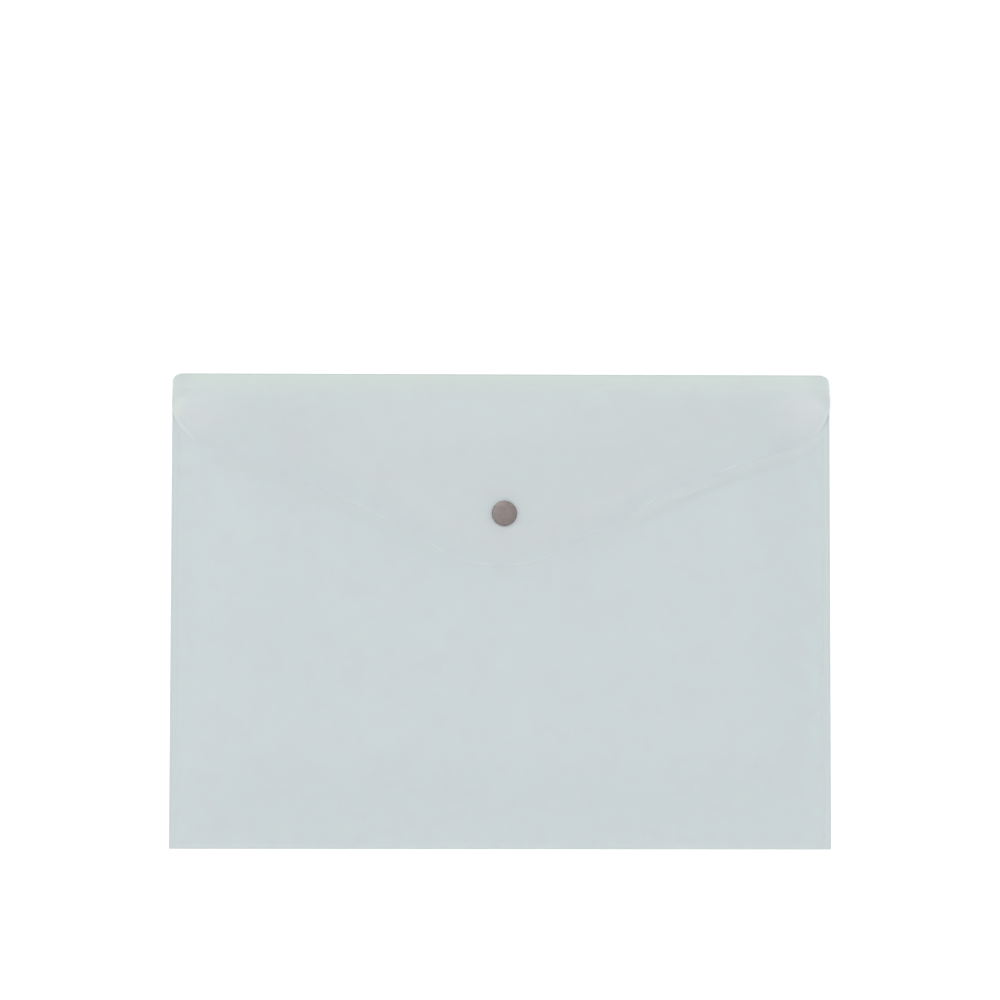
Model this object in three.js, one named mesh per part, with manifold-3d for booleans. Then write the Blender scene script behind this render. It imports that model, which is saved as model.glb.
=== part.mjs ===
// A document envelope of polypropylene sheet, closed by a metal press stud and lying on its back.
// Sizes are in millimetres. X runs along the width, Y towards the top fold and Z out of the front.
// The origin is on the table, below the middle of the envelope.

import * as THREE from "three";
import { mergeVertices } from "three/addons/utils/BufferGeometryUtils.js";
import Module from "manifold-3d";

const wasm = await Module();
wasm.setup();

// Sheet
const envelopeWidth = 330;
const envelopeHeight = 237;
const sheetThickness = 0.2;
const creaseRadius = 0.25; // of the middle of the sheet, where it is folded
const creaseGap = 0.3; // between two panels that meet at a crease or a weld
const layerGap = 0.3; // between two layers that lie on each other

// Pocket
const pocketHeight = 4.5; // free height between the back and the front
const sideRoll = 36; // the front rises over this distance from a side weld
const bottomRoll = 40; // and over this distance from the bottom fold
const mouthDrop = 12; // from the top fold down to the edge of the front
const weldWidth = 3;
const weldBeadRadius = 0.35;
const weldBeadFoot = 0.35; // from the bead to the level band
const bottomFoldWidth = 3;
const topCornerRadius = 4;

// Top spine, between the two creases
const spineRun = 7.5; // seen from above
const spineInset = 0.6; // its ends stand in from the sides of the back

// Flap
const flapDepth = 96; // from the top fold to the tip
const flapTipRadius = 64;
const flapTipAngle = 31; // degrees from the width to the edge, where the round tip ends
const flapSideAngle = 17; // degrees, where the round corner starts
const flapCornerRadius = 23;
const flapOverhang = 0.2; // past the sides of the pocket
const flapFlareLength = 4.5; // its sides widen over this distance from the crease
const flapSideDroop = 2.5; // its side corners hang this much below its crease
const flapDroopRun = 18; // the droop grows over this distance from the crease

// Where the flap rises to the snap
const snapX = 1.5;
const snapDrop = 70; // from the top fold down to the snap
const archFlatWidth = 24; // level from side to side, about the snap
const archWidth = 240;
const archTopRun = 30; // the flap rises over this distance from its crease
const archEdgeRun = 20; // and falls over this distance to its lower edge
const archEdgeFall = 0.4; // as a share of the height that the arch has there

// Press stud
const metalThickness = 0.3;
const seatGap = 0.2; // between two pieces of the snap, or the snap and the sheet
const capDiameter = 12.5;
const capHeight = 1.3;
const capEdgeRadius = 0.8;
const capCurlRadius = 0.35;
const capLipWidth = 1.1;
const postRadius = 1.9;
const postRollWidth = 0.7;
const socketDiameter = 10.4;
const socketDepth = 2.6;
const socketMouthRadius = 2.75;
const socketEdgeRadius = 0.45;
const studDiameter = 10.4;
const studBaseThickness = 0.35;
const studHeight = 2.25; // from the underside of its base
const neckRadius = 1.7;
const nibRadius = 2.05;
const nibEdgeRadius = 0.35;
const nibSideHeight = 0.15;
const nibSlope = 0.25; // height of the slope between the neck and the nib
const studToSocketGap = 0.25;
const springWireDiameter = 0.5;
const springLegHalf = 2.4; // half the straight part of a wire
const springBendRadius = 1.4;
const springBendAngle = 1.0; // radians
const springGrip = 0.15; // between a wire and the neck
const eyeletDiameter = 10;
const eyeletRimDepth = 0.55;
const eyeletTubeGap = 0.25; // between the eyelet's tube and the neck's bore
const eyeletFlare = 0.15;

// Facets
const rollSteps = 9;
const archColumns = 18;
const edgeColumns = 5;
const cornerColumns = 6;
const flapRows = 16;
const cornerSteps = 4;
const capArcSteps = 3;
const snapArcSteps = 2;
const capSegments = 48;
const snapSegments = 32;
const holeSegments = 32;
const wireSides = 8;
const wireSteps = 18;

// Places that follow from the sizes
const halfWidth = envelopeWidth / 2;
const topY = envelopeHeight / 2;
const bottomY = -topY;
const mouthY = topY - mouthDrop;
const panelHalfWidth = halfWidth - weldWidth - creaseGap;
const panelBottomY = bottomY + bottomFoldWidth + creaseGap;
const edgeMiddle = sheetThickness + layerGap + sheetThickness / 2; // of the front, at its edges
const frontUnderside = sheetThickness + pocketHeight;
const frontMiddle = frontUnderside + sheetThickness / 2;
const frontTop = frontUnderside + sheetThickness;
const flapMiddle = frontTop + layerGap + sheetThickness / 2;
const flapHalfWidth = halfWidth + flapOverhang;
const spineHalfWidth = halfWidth - spineInset;
const lowerCrease = new THREE.Vector2(topY, sheetThickness / 2 + creaseRadius); // Y and Z
const upperCrease = new THREE.Vector2(topY - spineRun, flapMiddle - creaseRadius);
const snapY = topY - snapDrop;
const capRadius = capDiameter / 2;
const postHoleRadius = postRadius + seatGap;
const neckBore = neckRadius - metalThickness;
const eyeletTubeRadius = neckBore - eyeletTubeGap;
const sheetsApartAtSnap =
  seatGap + studBaseThickness + studToSocketGap + socketDepth + seatGap;
const archRise = frontTop + sheetsApartAtSnap + sheetThickness / 2 - flapMiddle;

// Materials
const sheetMaterial = new THREE.MeshStandardMaterial({
  color: 0xccd4d6,
  roughness: 0.4,
  metalness: 0,
});
const weldMaterial = new THREE.MeshStandardMaterial({
  color: 0xc4ced1,
  roughness: 0.3,
  metalness: 0,
});
const nickelMaterial = new THREE.MeshStandardMaterial({
  color: 0x8e8683,
  roughness: 0.35,
  metalness: 0.9,
});
const springMaterial = new THREE.MeshStandardMaterial({
  color: 0xb08a56,
  roughness: 0.3,
  metalness: 0.9,
});

function smooth(value) {
  return THREE.MathUtils.smoothstep(value, 0, 1);
}

function spread(start, end, count) {
  return Array.from({ length: count + 1 }, (_, i) => start + ((end - start) * i) / count);
}

// A sheet of even thickness over a grid. middle(x, v) is a point on its middle surface, with x and v
// both rising, and the two faces lie half the thickness above and below it.
function sheetSolid(columns, rows, middle) {
  const faces = [1, -1].map((side) =>
    columns.map((x) =>
      rows.map((v) => middle(x, v).add(new THREE.Vector3(0, 0, (side * sheetThickness) / 2))),
    ),
  );
  const points = faces.flat(2);
  const index = (face, i, j) => (face * columns.length + i) * rows.length + j;
  const triangles = [];
  const quad = (a, b, c, d) => triangles.push(a, b, c, a, c, d);
  const lastColumn = columns.length - 1;
  const lastRow = rows.length - 1;

  for (let i = 0; i < lastColumn; i += 1) {
    for (let j = 0; j < lastRow; j += 1) {
      quad(index(0, i, j), index(0, i + 1, j), index(0, i + 1, j + 1), index(0, i, j + 1));
      quad(index(1, i, j), index(1, i, j + 1), index(1, i + 1, j + 1), index(1, i + 1, j));
    }
    quad(index(1, i, 0), index(1, i + 1, 0), index(0, i + 1, 0), index(0, i, 0));
    quad(index(1, i + 1, lastRow), index(1, i, lastRow), index(0, i, lastRow), index(0, i + 1, lastRow));
  }
  for (let j = 0; j < lastRow; j += 1) {
    quad(index(1, 0, j + 1), index(1, 0, j), index(0, 0, j), index(0, 0, j + 1));
    quad(
      index(1, lastColumn, j),
      index(1, lastColumn, j + 1),
      index(0, lastColumn, j + 1),
      index(0, lastColumn, j),
    );
  }

  const geometry = new THREE.BufferGeometry().setFromPoints(points);
  geometry.setIndex(triangles);
  return geometry;
}

function toManifold(geometry) {
  const bare = geometry.clone();
  bare.deleteAttribute("normal");
  bare.deleteAttribute("uv");
  const merged = mergeVertices(bare);
  return new wasm.Manifold(
    new wasm.Mesh({
      numProp: 3,
      vertProperties: new Float32Array(merged.attributes.position.array),
      triVerts: new Uint32Array(merged.index.array),
    }),
  );
}

function fromManifold(solid) {
  const mesh = solid.getMesh();
  const geometry = new THREE.BufferGeometry();
  geometry.setAttribute("position", new THREE.BufferAttribute(mesh.vertProperties, 3));
  geometry.setIndex(new THREE.BufferAttribute(mesh.triVerts, 1));
  return geometry;
}

// Cuts a round hole for the snap, right through a sheet.
function punch(geometry, radius) {
  const drill = new THREE.CylinderGeometry(radius, radius, 2 * flapMiddle + archRise, holeSegments);
  drill.rotateX(Math.PI / 2);
  drill.translate(snapX, snapY, flapMiddle);
  return fromManifold(toManifold(geometry).subtract(toManifold(drill)));
}

// Turns a profile of radius and height round the Z axis.
function revolve(profile, segments) {
  return new THREE.LatheGeometry(profile, segments).rotateX(Math.PI / 2);
}

function addArc(path, x, y, radius, startDegrees, endDegrees) {
  const start = THREE.MathUtils.degToRad(startDegrees);
  const end = THREE.MathUtils.degToRad(endDegrees);
  path.absarc(x, y, radius, start, end, endDegrees < startDegrees);
  return path;
}

// The back lies flat. Above the mouth it is as wide as the welds, with round top corners.
function backPanel() {
  const earY = mouthY + creaseGap;
  const outline = new THREE.Shape();
  outline.moveTo(-panelHalfWidth, panelBottomY);
  outline.lineTo(panelHalfWidth, panelBottomY);
  outline.lineTo(panelHalfWidth, earY);
  outline.lineTo(halfWidth, earY);
  addArc(outline, halfWidth - topCornerRadius, topY - topCornerRadius, topCornerRadius, 0, 90);
  addArc(outline, topCornerRadius - halfWidth, topY - topCornerRadius, topCornerRadius, 90, 180);
  outline.lineTo(-halfWidth, earY);
  outline.lineTo(-panelHalfWidth, earY);
  outline.closePath();
  return new THREE.ExtrudeGeometry(outline, {
    depth: sheetThickness,
    bevelEnabled: false,
    curveSegments: cornerSteps,
  });
}

// The front is a pillow: low along the welds and the bottom fold, level up to the mouth.
function frontPanel() {
  const levelX = panelHalfWidth - sideRoll;
  const levelY = panelBottomY + bottomRoll;
  const columns = [
    ...spread(-panelHalfWidth, -levelX, rollSteps),
    ...spread(levelX, panelHalfWidth, rollSteps),
  ];
  const rows = [...spread(panelBottomY, levelY, rollSteps), mouthY];
  const solid = sheetSolid(columns, rows, (x, y) => {
    const side = smooth((panelHalfWidth - Math.abs(x)) / sideRoll);
    const bottom = smooth((y - panelBottomY) / bottomRoll);
    return new THREE.Vector3(x, y, edgeMiddle + (frontMiddle - edgeMiddle) * side * bottom);
  });
  return punch(solid, eyeletTubeRadius + eyeletTubeGap);
}

// The bottom fold is a flattened loop of the sheet, open towards the pocket.
function bottomFold() {
  const outerRadius = sheetThickness + layerGap / 2;
  const centreY = bottomY + outerRadius;
  const innerEdgeY = bottomY + bottomFoldWidth;
  const section = new THREE.Shape();
  section.moveTo(innerEdgeY, 0);
  section.lineTo(innerEdgeY, sheetThickness);
  addArc(section, centreY, outerRadius, layerGap / 2, 270, 90);
  section.lineTo(innerEdgeY, sheetThickness + layerGap);
  section.lineTo(innerEdgeY, 2 * outerRadius);
  addArc(section, centreY, outerRadius, outerRadius, 90, 270);
  section.closePath();
  return extrudeAlongX(section, 2 * panelHalfWidth);
}

// Extrudes a section drawn in Y and Z along X, evenly about the middle of the envelope.
function extrudeAlongX(section, length) {
  const geometry = new THREE.ExtrudeGeometry(section, {
    depth: length,
    bevelEnabled: false,
    curveSegments: cornerSteps,
  });
  geometry.translate(0, 0, -length / 2);
  geometry.rotateZ(Math.PI / 2);
  geometry.rotateY(Math.PI / 2);
  return geometry;
}

// A side weld is a thin band with a round bead along the outside. side is 1 on the right.
function sideWeld(side) {
  const bandHeight = 2 * sheetThickness + layerGap / 2;
  const section = new THREE.Shape();
  section.moveTo(halfWidth - weldWidth, 0);
  section.lineTo(halfWidth - weldBeadRadius, 0);
  addArc(section, halfWidth - weldBeadRadius, weldBeadRadius, weldBeadRadius, -90, 135);
  section.lineTo(halfWidth - 2 * weldBeadRadius - weldBeadFoot, bandHeight);
  section.lineTo(halfWidth - weldWidth, bandHeight);
  section.closePath();
  const length = mouthY - bottomY;
  const geometry = new THREE.ExtrudeGeometry(section, {
    depth: length,
    bevelEnabled: false,
    curveSegments: cornerSteps,
  });
  geometry.rotateX(Math.PI / 2);
  geometry.translate(0, mouthY, 0);
  if (side < 0) {
    geometry.rotateZ(Math.PI);
    geometry.translate(0, mouthY + bottomY, 0);
  }
  return geometry;
}

// The spine leans from the lower crease to the upper one. Its ends are rounded at the lower crease.
function topSpine() {
  const slope = upperCrease.clone().sub(lowerCrease);
  const start = creaseGap;
  const end = slope.length() - creaseGap / 2;
  const outline = new THREE.Shape();
  const cornerX = spineHalfWidth - topCornerRadius;
  addArc(outline, cornerX, start + topCornerRadius, topCornerRadius, -90, 0);
  outline.lineTo(spineHalfWidth, end);
  outline.lineTo(-spineHalfWidth, end);
  addArc(outline, -cornerX, start + topCornerRadius, topCornerRadius, 180, 270);
  outline.closePath();
  const geometry = new THREE.ExtrudeGeometry(outline, {
    depth: sheetThickness,
    bevelEnabled: false,
    curveSegments: cornerSteps,
  });
  geometry.translate(0, 0, -creaseRadius - sheetThickness / 2);
  geometry.rotateX(slope.angle());
  geometry.translate(0, lowerCrease.x, lowerCrease.y);
  return geometry;
}

// Half of the flap's lower edge, for x from 0 to the side, is three arcs that touch: the round tip, a
// long hollow arc and the round corner.
const tipAngle = THREE.MathUtils.degToRad(flapTipAngle);
const sideAngle = THREE.MathUtils.degToRad(flapSideAngle);
const tipCentreY = topY - flapDepth + flapTipRadius;
const tipEndX = flapTipRadius * Math.sin(tipAngle);
const cornerCentreX = flapHalfWidth - flapCornerRadius;
const cornerStartX = cornerCentreX + flapCornerRadius * Math.sin(sideAngle);
const hollowRadius = (cornerStartX - tipEndX) / (Math.sin(tipAngle) - Math.sin(sideAngle));
const hollowCentreX = tipEndX + hollowRadius * Math.sin(tipAngle);
const hollowCentreY = tipCentreY - (flapTipRadius + hollowRadius) * Math.cos(tipAngle);
const cornerCentreY = hollowCentreY + (hollowRadius + flapCornerRadius) * Math.cos(sideAngle);

function flapEdgeY(x) {
  if (x < tipEndX) {
    return tipCentreY - Math.sqrt(flapTipRadius ** 2 - x ** 2);
  }
  if (x < cornerStartX) {
    return hollowCentreY + Math.sqrt(hollowRadius ** 2 - (x - hollowCentreX) ** 2);
  }
  return cornerCentreY - Math.sqrt(Math.max(0, flapCornerRadius ** 2 - (x - cornerCentreX) ** 2));
}

// How far the flap is lifted to the snap, from 1 at the snap to 0. It is an arch from side to side,
// which starts at the crease and sinks a little towards the lower edge.
function arch(x, y) {
  const flat = archFlatWidth / 2;
  const across = 1 - smooth((Math.abs(x - snapX) - flat) / (archWidth / 2 - flat));
  const fromCrease = smooth((upperCrease.x - y) / archTopRun);
  const fromEdge = smooth((y - flapEdgeY(Math.abs(x))) / archEdgeRun);
  return across * fromCrease * (1 - archEdgeFall * (1 - fromEdge));
}

function flapHeight(x, y) {
  const creaseDistance = upperCrease.x - y;
  const sideStart = panelHalfWidth - sideRoll;
  const droop =
    smooth((Math.abs(x) - sideStart) / (flapHalfWidth - sideStart)) *
    smooth(creaseDistance / flapDroopRun);
  return flapMiddle + archRise * arch(x, y) - flapSideDroop * droop;
}

function flap() {
  const cornerAngles = spread(Math.PI / 2 - sideAngle, 0, cornerColumns);
  const half = [
    ...spread(0, archWidth / 2, archColumns),
    ...spread(archWidth / 2, cornerStartX, edgeColumns).slice(1, -1),
    ...cornerAngles.map((angle) => cornerCentreX + flapCornerRadius * Math.cos(angle)),
  ];
  const columns = [...half.slice(1).reverse().map((x) => -x), ...half];
  const creaseY = upperCrease.x - creaseGap / 2;
  const solid = sheetSolid(columns, spread(0, 1, flapRows), (x, v) => {
    const y = THREE.MathUtils.lerp(flapEdgeY(Math.abs(x)), creaseY, v);
    const flare = 1 - smooth((creaseY - y) / flapFlareLength);
    const width = THREE.MathUtils.lerp(flapHalfWidth, spineHalfWidth, flare);
    return new THREE.Vector3((x * width) / flapHalfWidth, y, flapHeight(x, y));
  });
  return punch(solid, postHoleRadius);
}

// Cap shell: a shallow dish, face up, curled under at the rim. Height 0 is the flap's top face.
function capShell() {
  const top = seatGap + capHeight;
  const filletR = capRadius - capEdgeRadius;
  const lipR = capRadius - capLipWidth;
  const lipTop = seatGap + metalThickness;
  const profile = new THREE.Path();
  profile.moveTo(0, top - metalThickness);
  profile.lineTo(filletR, top - metalThickness);
  addArc(profile, filletR, top - capEdgeRadius, capEdgeRadius - metalThickness, 90, 0);
  profile.lineTo(capRadius - metalThickness, lipTop);
  profile.lineTo(lipR, lipTop);
  profile.lineTo(lipR, seatGap);
  addArc(profile, capRadius - capCurlRadius, seatGap + capCurlRadius, capCurlRadius, -90, 0);
  addArc(profile, filletR, top - capEdgeRadius, capEdgeRadius, 0, 90);
  profile.lineTo(0, top);
  return revolve(profile.getPoints(capArcSteps), capSegments);
}

// Cap post: a disc inside the cap, with a tube through the flap and the socket's base, rolled over
// below it. Height 0 is the flap's top face.
function capPost() {
  const discBottom = seatGap + metalThickness + seatGap;
  const discRadius = capRadius - metalThickness - seatGap;
  const rollTop = -sheetThickness - seatGap - metalThickness - seatGap;
  const rollRadius = metalThickness / 2;
  const bore = postRadius - metalThickness;
  const profile = new THREE.Path();
  profile.moveTo(0, discBottom);
  profile.lineTo(bore, discBottom);
  profile.lineTo(bore, rollTop - metalThickness);
  const rollR = postRadius + postRollWidth - rollRadius;
  addArc(profile, rollR, rollTop - rollRadius, rollRadius, -90, 90);
  profile.lineTo(postRadius, rollTop);
  profile.lineTo(postRadius, discBottom);
  profile.lineTo(discRadius, discBottom);
  profile.lineTo(discRadius, discBottom + metalThickness);
  profile.lineTo(0, discBottom + metalThickness);
  return revolve(profile.getPoints(snapArcSteps), snapSegments);
}

// Socket: a dish with a hole for the post and a wide mouth for the stud. Height 0 is the flap's
// underside.
function socket() {
  const radius = socketDiameter / 2;
  const top = -seatGap;
  const bottom = top - socketDepth;
  const edgeR = radius - socketEdgeRadius;
  const innerEdge = socketEdgeRadius - metalThickness;
  const profile = new THREE.Path();
  profile.moveTo(postHoleRadius, top);
  profile.lineTo(postHoleRadius, top - metalThickness);
  addArc(profile, edgeR, top - socketEdgeRadius, innerEdge, 90, 0);
  addArc(profile, edgeR, bottom + socketEdgeRadius, innerEdge, 0, -90);
  profile.lineTo(socketMouthRadius, bottom + metalThickness);
  profile.lineTo(socketMouthRadius, bottom);
  addArc(profile, edgeR, bottom + socketEdgeRadius, socketEdgeRadius, -90, 0);
  addArc(profile, edgeR, top - socketEdgeRadius, socketEdgeRadius, 0, 90);
  profile.lineTo(postHoleRadius, top);
  return revolve(profile.getPoints(snapArcSteps), snapSegments);
}

// Stud: a disc with a hollow nib that is narrower at its neck. Height 0 is the front's top face.
function stud() {
  const radius = studDiameter / 2;
  const rim = studBaseThickness / 2;
  const baseTop = seatGap + studBaseThickness;
  const top = seatGap + studHeight;
  const nibR = nibRadius - nibEdgeRadius;
  const sideTop = top - nibEdgeRadius;
  const sideBottom = sideTop - nibSideHeight;
  const wallDrop = nibSlope / 2; // keeps the wall's thickness on the slope
  const profile = new THREE.Path();
  profile.moveTo(0, top - metalThickness);
  profile.lineTo(nibR, top - metalThickness);
  addArc(profile, nibR, sideTop, nibEdgeRadius - metalThickness, 90, 0);
  profile.lineTo(nibRadius - metalThickness, sideBottom + wallDrop);
  profile.lineTo(neckBore, sideBottom - nibSlope + wallDrop);
  profile.lineTo(neckBore, seatGap);
  addArc(profile, radius - rim, seatGap + rim, rim, -90, 90);
  addArc(profile, neckRadius + metalThickness, baseTop + metalThickness, metalThickness, 270, 180);
  profile.lineTo(neckRadius, sideBottom - nibSlope);
  profile.lineTo(nibRadius, sideBottom);
  addArc(profile, nibR, sideTop, nibEdgeRadius, 0, 90);
  profile.lineTo(0, top);
  return revolve(profile.getPoints(snapArcSteps), snapSegments);
}

// Eyelet: a disc with a turned rim inside the pocket, and a tube that is flared inside the nib.
// Height 0 is the front's underside.
function eyelet() {
  const radius = eyeletDiameter / 2;
  const bore = eyeletTubeRadius - metalThickness;
  const discTop = -seatGap;
  const discBottom = discTop - metalThickness;
  const rimRadius = eyeletRimDepth / 2;
  const tubeTop = sheetThickness + seatGap + studHeight - metalThickness - seatGap;
  const profile = new THREE.Path();
  profile.moveTo(bore, tubeTop - eyeletFlare);
  profile.lineTo(bore, discBottom);
  profile.lineTo(radius - 2 * rimRadius, discBottom);
  addArc(profile, radius - rimRadius, discTop - rimRadius, rimRadius, 210, 450);
  profile.lineTo(eyeletTubeRadius, discTop);
  profile.lineTo(eyeletTubeRadius, tubeTop - eyeletFlare);
  profile.lineTo(eyeletTubeRadius + eyeletFlare, tubeTop);
  profile.lineTo(bore + eyeletFlare, tubeTop);
  profile.lineTo(bore, tubeTop - eyeletFlare);
  return revolve(profile.getPoints(2 * snapArcSteps), snapSegments);
}

// One spring wire: a straight leg beside the neck, whose ends bend outwards. side is 1 on the right.
// Height 0 is the middle of the wire.
function springWire(side) {
  const legX = side * (neckRadius + springGrip + springWireDiameter / 2);
  const bendX = legX + side * springBendRadius;
  const legAngle = side > 0 ? Math.PI : 0;
  const bend = (centreY, from, to) =>
    new THREE.EllipseCurve(bendX, centreY, springBendRadius, springBendRadius, from, to, from > to);
  const flat = new THREE.CurvePath();
  flat.add(bend(-springLegHalf, legAngle + side * springBendAngle, legAngle));
  flat.add(
    new THREE.LineCurve(
      new THREE.Vector2(legX, -springLegHalf),
      new THREE.Vector2(legX, springLegHalf),
    ),
  );
  flat.add(bend(springLegHalf, legAngle, legAngle - side * springBendAngle));
  const points = flat.getSpacedPoints(wireSteps).map((p) => new THREE.Vector3(p.x, p.y, 0));
  const section = new THREE.Shape();
  section.absarc(0, 0, springWireDiameter / 2, 0, 2 * Math.PI);
  return new THREE.ExtrudeGeometry(section, {
    steps: wireSteps,
    curveSegments: wireSides / 2,
    extrudePath: new THREE.CatmullRomCurve3(points),
  });
}

function part(name, geometry, material, position = [0, 0, 0]) {
  const mesh = new THREE.Mesh(geometry, material);
  mesh.name = name;
  mesh.position.set(...position);
  return mesh;
}

// Assembly
const pocket = new THREE.Group();
pocket.add(
  part("back_panel", backPanel(), sheetMaterial),
  part("front_panel", frontPanel(), sheetMaterial),
  part("bottom_fold", bottomFold(), sheetMaterial),
  part("left_side_weld", sideWeld(-1), weldMaterial),
  part("right_side_weld", sideWeld(1), weldMaterial),
  part("snap_stud", stud(), nickelMaterial, [snapX, snapY, frontTop]),
  part("snap_eyelet", eyelet(), nickelMaterial, [snapX, snapY, frontUnderside]),
);

const flapTopAtSnap = flapMiddle + archRise + sheetThickness / 2;
const flapUndersideAtSnap = flapTopAtSnap - sheetThickness;
const springZ =
  flapUndersideAtSnap - seatGap - socketDepth + metalThickness + seatGap + springWireDiameter / 2;
const cover = new THREE.Group();
cover.add(
  part("top_spine", topSpine(), sheetMaterial),
  part("flap", flap(), sheetMaterial),
  part("snap_cap_shell", capShell(), nickelMaterial, [snapX, snapY, flapTopAtSnap]),
  part("snap_cap_post", capPost(), nickelMaterial, [snapX, snapY, flapTopAtSnap]),
  part("snap_socket", socket(), nickelMaterial, [snapX, snapY, flapUndersideAtSnap]),
  part("socket_spring_left", springWire(-1), springMaterial, [snapX, snapY, springZ]),
  part("socket_spring_right", springWire(1), springMaterial, [snapX, snapY, springZ]),
);

const group = new THREE.Group();
group.add(pocket, cover);

export default group;
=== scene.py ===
import math

import bpy
import numpy as np
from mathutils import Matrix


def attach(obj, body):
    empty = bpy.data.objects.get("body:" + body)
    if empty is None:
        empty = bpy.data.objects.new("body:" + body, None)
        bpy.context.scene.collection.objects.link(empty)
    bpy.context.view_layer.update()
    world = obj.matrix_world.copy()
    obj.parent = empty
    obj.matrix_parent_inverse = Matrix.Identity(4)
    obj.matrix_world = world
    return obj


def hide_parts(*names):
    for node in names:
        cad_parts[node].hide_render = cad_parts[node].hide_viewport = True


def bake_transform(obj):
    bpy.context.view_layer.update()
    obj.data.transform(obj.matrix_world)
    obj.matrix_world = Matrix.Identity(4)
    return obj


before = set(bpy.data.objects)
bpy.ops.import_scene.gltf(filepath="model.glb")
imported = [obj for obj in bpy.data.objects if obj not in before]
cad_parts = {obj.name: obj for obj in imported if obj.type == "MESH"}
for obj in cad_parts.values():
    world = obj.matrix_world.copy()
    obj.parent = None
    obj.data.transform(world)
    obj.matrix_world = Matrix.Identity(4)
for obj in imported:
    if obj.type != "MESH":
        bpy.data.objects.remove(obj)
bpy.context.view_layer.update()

# Sizes are in millimetres, and are turned to metres when a mesh is made.
MM = 0.001
ENVELOPE_WIDTH = 330
ENVELOPE_HEIGHT = 237
SHEET_THICKNESS = 0.2
CREASE_RADIUS = 0.25  # of the middle of the sheet, round a crease
CREASE_LINE = 0.15  # from a bend to the edge of the next piece of the sheet
LAYER_GAP = 0.3  # between the flap and the front
RIM_BULGE = 0.04  # of a die-cut edge, past its two faces

POCKET_HEIGHT = 4.5
SIDE_ROLL = 38  # from a weld to where the front is level
BOTTOM_ROLL = 46  # from the bottom fold to the same
MOUTH_DROP = 12  # from the top fold down to the mouth
WELD_WIDTH = 3
WELD_BAND_HEIGHT = 0.5
WELD_BEAD_RADIUS = 0.35
WELD_BEAD_WIDTH = 0.72  # at its top
WELD_BEAD_FOOT = 1.05  # its width where it meets the band
BEAD_TOP = 0.75  # just clear of the bead where it swells most
BOTTOM_FOLD_WIDTH = 3
PRESSED_MIDDLE = 0.36  # of the upper layer, where the bottom fold is pressed flat
WELDED_MIDDLE = 0.4  # of the upper layer, along a weld
TOP_CORNER_RADIUS = 4
MARGIN = 15  # the sheet's columns are squeezed or spread only this near to its sides
SPARSE_HALF_WIDTH = 124  # the columns stand closer together outside this

# What the flap's edge has done to the front, which has waves as well
SAG = 0.4  # of the front, just below the edge
SAG_DISTANCE = 3.5  # from the edge to the top of the sag
SAG_RUN = 5
SAG_FADE = 90
PRESS = 0.12  # of the front, down, under the edge
PRESS_RUN = 1.0  # from the edge outwards
PRESS_FADE = 18  # from 5 above the edge, upwards
RIDGE_HEIGHT = 0.05  # where the edge has rubbed the front
RUBBED_WIDTH = 5.2
EDGE_SHADE_DISTANCE = 1.4  # from the rubbed band to the middle of the painted shade below it
WAVE_FADE = 12  # from the edge down to where the waves are full

SPINE_RUN = 7.5
SPINE_INSET = 0.6
SPINE_BOW = 0.15

FLAP_DEPTH = 96  # from the top fold to the tip
FLAP_TIP_RADIUS = 64
FLAP_TIP_ANGLE = math.radians(31)  # at which the edge leaves the tip's arc
FLAP_SIDE_ANGLE = math.radians(17)  # at which it meets the corner's arc
FLAP_CORNER_RADIUS = 23
FLAP_OVERHANG = 0.2  # past the pocket, to either side
FLAP_FLARE_LENGTH = 12  # from the crease, where the flap is as narrow as the spine
FLAP_SIDE_DROOP = 3.4
FLAP_DROOP_RUN = 24
EDGE_CLEARANCE = 0.04  # under the flap's cut edge, where it rests
EDGE_RIPPLE = 0.1  # of the cut edge, upwards
CUT_THINNING = 0.6  # of the flap's thickness, at its cut edge
CUT_RUN = 1.2  # from the cut edge inwards
FLAP_PAINTED_LIGHT = 0.08  # painted light: how far the flap is whitened, of 1, to lift its shade
PAINTED_LIGHT_RUN = 26  # from the cut edge inwards, to where that painted light is full
CORNER_PAINTED_LIGHT = 0.17  # painted light added inside the flap's side corners, to lift their shade
BEND_PAINTED_LIGHT = 0.26  # painted light added where the flap bends down to the front
BEND_STEEPNESS = 0.3  # rise over run, from which that painted light is full
PAINTED_SHADE_RUN = 13  # width of the painted shade at the ends of the spine
PAINTED_SHADE_RUN_LOW = 3  # and of the painted shade down the flap's sides, at their lower end
# The flap starts to sink this far from its cut edge, at the tip and to either side of it
SINK_START = 19
SINK_START_LEFT = 26
SINK_START_RIGHT = 20
# and it rests on the front from here on to that edge
SINK_END = 3
SINK_END_LEFT = 8
SINK_END_RIGHT = 5
SIDE_SINK = 38  # from the flap's sides, where it rests too, to where it starts to sink

SNAP_X = 1.5
SNAP_DROP = 70
ARCH_FLAT_WIDTH = 24  # of the arch over the snap, and with its two slopes
ARCH_WIDTH = 240
ARCH_TOP_RUN = 30

# Press stud
METAL_THICKNESS = 0.3
SEAT_GAP = 0.2  # between two pieces of the snap, or the snap and the sheet
CAP_RADIUS = 6.25
CAP_HEIGHT = 1.3
CAP_CROWN_HALF_WIDTH = 3.2
CAP_CROWN_DROP = 0.02  # from its middle to there
CAP_CROWN_RADIUS = 6
CAP_SHOULDER_DROP = 0.14  # from its middle down to its shoulder
CAP_SHOULDER_RADIUS = 0.5
CAP_INNER_SHOULDER_WIDTH = 0.8  # from its side to its inner shoulder
CAP_INNER_SHOULDER_DROP = 0.06
CAP_CURL_RADIUS = 0.34
CAP_LIP_WIDTH = 1.1
POST_RADIUS = 1.9
POST_ROLL_WIDTH = 0.7
POST_BORE_END = -0.3  # its height, from the flap's top face
SOCKET_RADIUS = 5.2
SOCKET_HEIGHT = 2.6
SOCKET_EDGE_RADIUS = 0.45
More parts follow.
